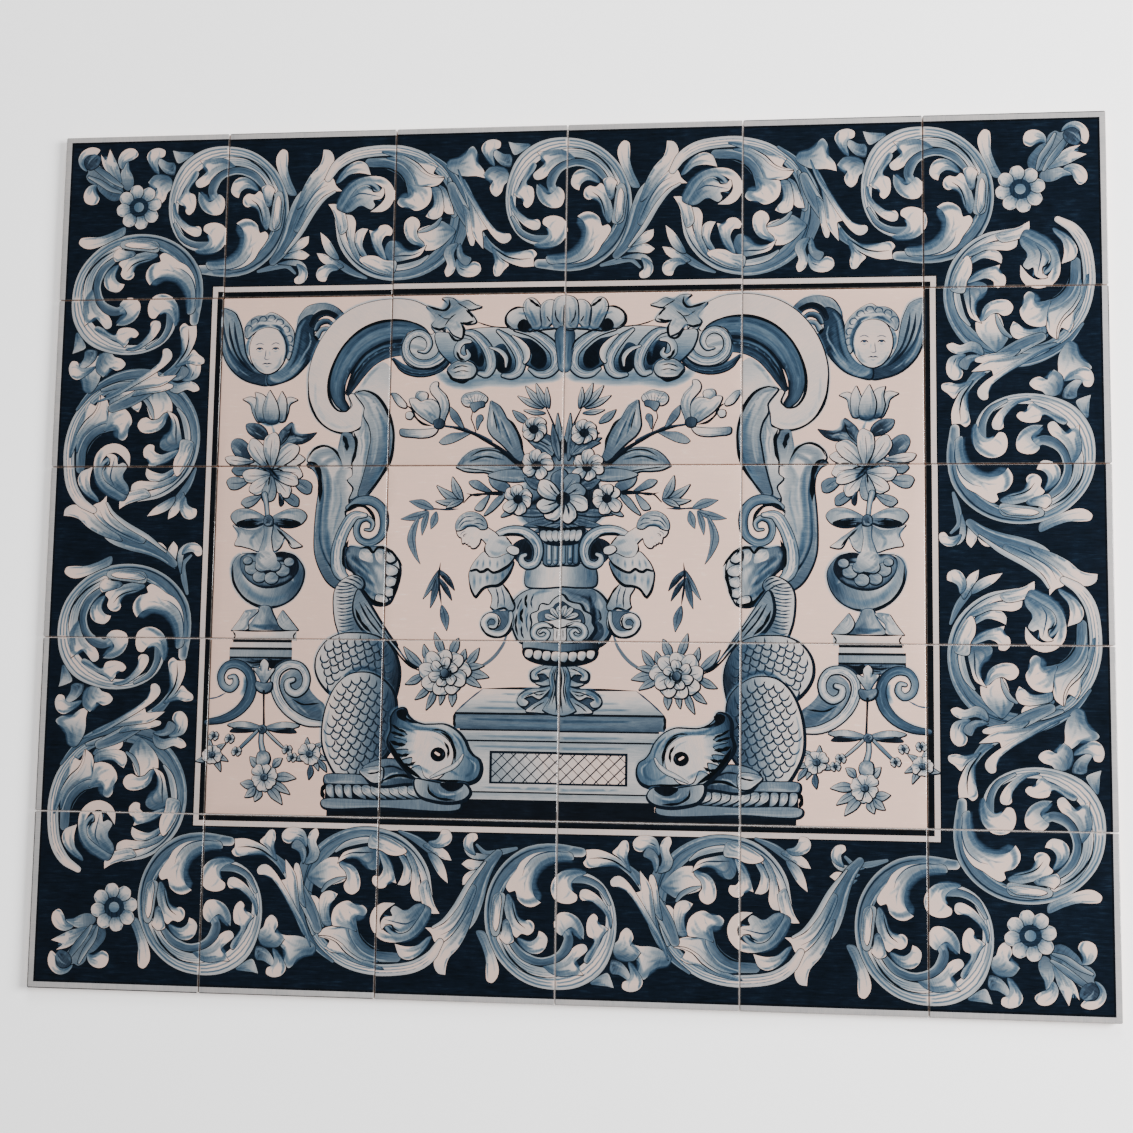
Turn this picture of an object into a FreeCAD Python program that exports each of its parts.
import FreeCAD, Part
import Sketcher
import os
import string

# Pictorial panel of faience tiles, laid face up: one body for each tile, on one sheet of sizes.
#
# A tile is a pressed biscuit slab. An upright band carries the glazed face, with a softly rounded rim.
# Below the band the sides lean in towards the back, so that neighbouring faces meet in a fine joint while the backs
# stay apart. The back has a plain rim around a row of shallow keying grooves for the mortar.
#
# The panel's own frame: origin at the middle of the back, +X to the picture's right, +Y to its top, +Z out of the
# glazed face. Rows are lettered from the top of the picture and columns numbered from its left, as a tiler marks
# the backs of a set before fixing it: tile_a1 is the top left corner.

Vector = FreeCAD.Vector

SIZES = [
    ("columns", 6, "tiles from left to right"),
    ("rows", 5, "tiles from bottom to top"),
    ("tile_side", 139.4, "side of the square glazed face"),
    ("joint_gap", 0.6, "open joint between neighbouring faces"),
    ("tile_thickness", 8.0, "back of the biscuit to the glazed face"),
    ("band_height", 2.0, "upright band below the glazed face"),
    ("side_lean", 4.0, "how far the sides lean in below the band, in degrees"),
    ("corner_cut", 0.8, "flat taken off the four corners, from face to back"),
    ("rim_round", 0.8, "radius of the rim around the glazed face"),
    ("groove_spacing", 17.0, "middle to middle of the keying grooves on the back"),
    ("groove_width", 8.0, "width of a keying groove"),
    ("groove_depth", 0.8, "depth of a keying groove"),
    ("plain_rim", 11.0, "flat rim left around the grooves"),
]

TOUCH = 1e-4


def make_sheet(doc):
    """The sheet of driving sizes, and the cells that follow from them."""
    sheet = doc.addObject("Spreadsheet::Sheet", "Sizes")
    for line, (alias, value, words) in enumerate(SIZES, start=1):
        sheet.set(f"A{line}", str(value))
        sheet.set(f"B{line}", words)
        sheet.setAlias(f"A{line}", alias)
    derived = [
        ("pitch", "=tile_side + joint_gap"),
        ("shoulder", "=tile_thickness - band_height"),
        ("back_side", "=tile_side - 2 * shoulder * tan(side_lean * 1 deg)"),
        ("groove_length", "=back_side - 2 * plain_rim"),
        ("groove_count", "=floor((groove_length - groove_width) / groove_spacing) + 1"),
        ("groove_span", "=(groove_count - 1) * groove_spacing"),
    ]
    for line, (alias, formula) in enumerate(derived, start=len(SIZES) + 1):
        sheet.set(f"A{line}", formula)
        sheet.setAlias(f"A{line}", alias)
    doc.recompute()
    return sheet


def origin_feature(body, role):
    """A plane or axis of a body's own origin, by its role."""
    return next(f for f in body.Origin.OriginFeatures if f.Role == role)


def rectangle_sketch(body, name, width, depth, height=None, across=None):
    """A rectangle on the body's XY plane, centred on its Y axis line.

    width and depth are sheet cells, height a cell that lifts the plane, and across a formula for the middle's X.
    """
    sketch = body.newObject("Sketcher::SketchObject", name)
    sketch.AttachmentSupport = [(origin_feature(body, "XY_Plane"), "")]
    sketch.MapMode = "FlatFace"
    if height:
        sketch.setExpression("AttachmentOffset.Base.z", f"Sizes.{height}")
    corners = [Vector(-1, -1, 0), Vector(1, -1, 0), Vector(1, 1, 0), Vector(-1, 1, 0)]
    for start, end in zip(corners, corners[1:] + corners[:1]):
        sketch.addGeometry(Part.LineSegment(start, end), False)
    for side in range(4):
        sketch.addConstraint(Sketcher.Constraint("Coincident", side, 2, (side + 1) % 4, 1))
    for side in (0, 2):
        sketch.addConstraint(Sketcher.Constraint("Horizontal", side))
        sketch.addConstraint(Sketcher.Constraint("Vertical", side + 1))
    half_width = f"Sizes.{width} / 2"
    middle = across or "0"
    bindings = [
        ("DistanceX", 0, 1, -1.0, f"{middle} - {half_width}"),
        ("DistanceX", 0, 2, 1.0, f"{middle} + {half_width}"),
        ("DistanceY", 0, 1, -1.0, f"-Sizes.{depth} / 2"),
        ("DistanceY", 2, 1, 1.0, f"Sizes.{depth} / 2"),
    ]
    for kind, line, point, value, formula in bindings:
        index = sketch.addConstraint(Sketcher.Constraint(kind, -1, 1, line, point, value))
        sketch.setExpression(f"Constraints[{index}]", formula)
    return sketch


def square_pad(body, name, length):
    """The face's square, padded from the shoulder by a length from the sheet."""
    square = rectangle_sketch(body, f"{name}Square", "tile_side", "tile_side", height="shoulder")
    pad = body.newObject("PartDesign::Pad", name)
    pad.Profile = square
    pad.setExpression("Length", f"Sizes.{length}")
    return pad


def edges_where(feature, test):
    """The names of a feature's edges whose two end heights pass a test."""
    names = []
    for number, edge in enumerate(feature.Shape.Edges, start=1):
        low, high = sorted(vertex.Z for vertex in edge.Vertexes)
        if test(low, high):
            names.append(f"Edge{number}")
    return names


def work_edges(body, kind, name, base, edges, size_name, size_cell):
    """A chamfer or fillet of a sheet size on some of a feature's edges."""
    feature = body.newObject(f"PartDesign::{kind}", name)
    feature.Base = (base, edges)
    feature.setExpression(size_name, f"Sizes.{size_cell}")
    return feature


def keying_grooves(body):
    """A row of shallow grooves in the back, evenly spread between the plain rims."""
    groove = rectangle_sketch(
        body, "GrooveOutline", "groove_width", "groove_length", across="-Sizes.groove_span / 2"
    )
    pocket = body.newObject("PartDesign::Pocket", "Groove")
    pocket.Profile = groove
    pocket.Reversed = True
    pocket.setExpression("Length", "Sizes.groove_depth")
    row = body.newObject("PartDesign::LinearPattern", "GrooveRow")
    row.Originals = [pocket]
    row.Direction = (origin_feature(body, "X_Axis"), [""])
    row.setExpression("Length", "Sizes.groove_span")
    row.setExpression("Occurrences", "Sizes.groove_count")
    body.Tip = row


def make_tile(doc, label, column, row):
    """One tile of the panel, placed by its column from the left and its row from the top, both from 0."""
    body = doc.addObject("PartDesign::Body", label)
    body.Label = label
    sizes = doc.Sizes
    slab = square_pad(body, "Slab", "shoulder")
    slab.Reversed = True
    slab.setExpression("TaperAngle", "-Sizes.side_lean * 1 deg")
    doc.recompute()
    leaning = edges_where(slab, lambda low, high: high - low > TOUCH)
    work_edges(body, "Chamfer", "LeaningCorners", slab, leaning, "Size", "corner_cut")
    band = square_pad(body, "Band", "band_height")
    doc.recompute()
    upright = edges_where(band, lambda low, high: low > sizes.shoulder - TOUCH and high - low > TOUCH)
    corners = work_edges(body, "Chamfer", "BandCorners", band, upright, "Size", "corner_cut")
    doc.recompute()
    around_face = edges_where(corners, lambda low, high: low > sizes.tile_thickness - TOUCH)
    work_edges(body, "Fillet", "FaceRim", corners, around_face, "Radius", "rim_round")
    keying_grooves(body)
    body.setExpression("Placement.Base.x", f"({column} - (round(Sizes.columns) - 1) / 2) * Sizes.pitch")
    body.setExpression("Placement.Base.y", f"((round(Sizes.rows) - 1) / 2 - {row}) * Sizes.pitch")
    return body


def check_document(doc, tiles):
    """Stops if a feature failed, or a tile isn't one valid solid that its grooves have cut."""
    for item in doc.Objects:
        if "Invalid" in item.State or "Error" in item.State:
            raise RuntimeError(f"{item.Label} failed: {item.State}")
    for tile in tiles:
        shape = tile.Shape
        if shape.isNull() or not shape.isValid() or len(shape.Solids) != 1:
            raise RuntimeError(f"{tile.Label} is not one valid solid")
        sizes = doc.Sizes
        groove = sizes.groove_width * sizes.groove_length * sizes.groove_depth
        uncut = next(f for f in tile.Group if f.Name.startswith("FaceRim")).Shape.Volume
        if uncut - shape.Volume < groove:
            raise RuntimeError(f"{tile.Label}: its back has no grooves")


def main():
    """Builds the panel and writes each tile's solid to parts/."""
    doc = FreeCAD.newDocument("TilePanel")
    sheet = make_sheet(doc)
    tiles = []
    for row in range(round(sheet.rows)):
        for column in range(round(sheet.columns)):
            label = f"tile_{string.ascii_lowercase[row]}{column + 1}"
            tiles.append(make_tile(doc, label, column, row))
    doc.recompute()
    check_document(doc, tiles)
    os.makedirs("parts", exist_ok=True)
    for tile in tiles:
        tile.Shape.exportStep(f"parts/{tile.Label}.step")
    print(f"{len(tiles)} tiles, each {tiles[0].Shape.Volume / 1000:.1f} cm3, {len(tiles[0].Shape.Faces)} faces")


main()
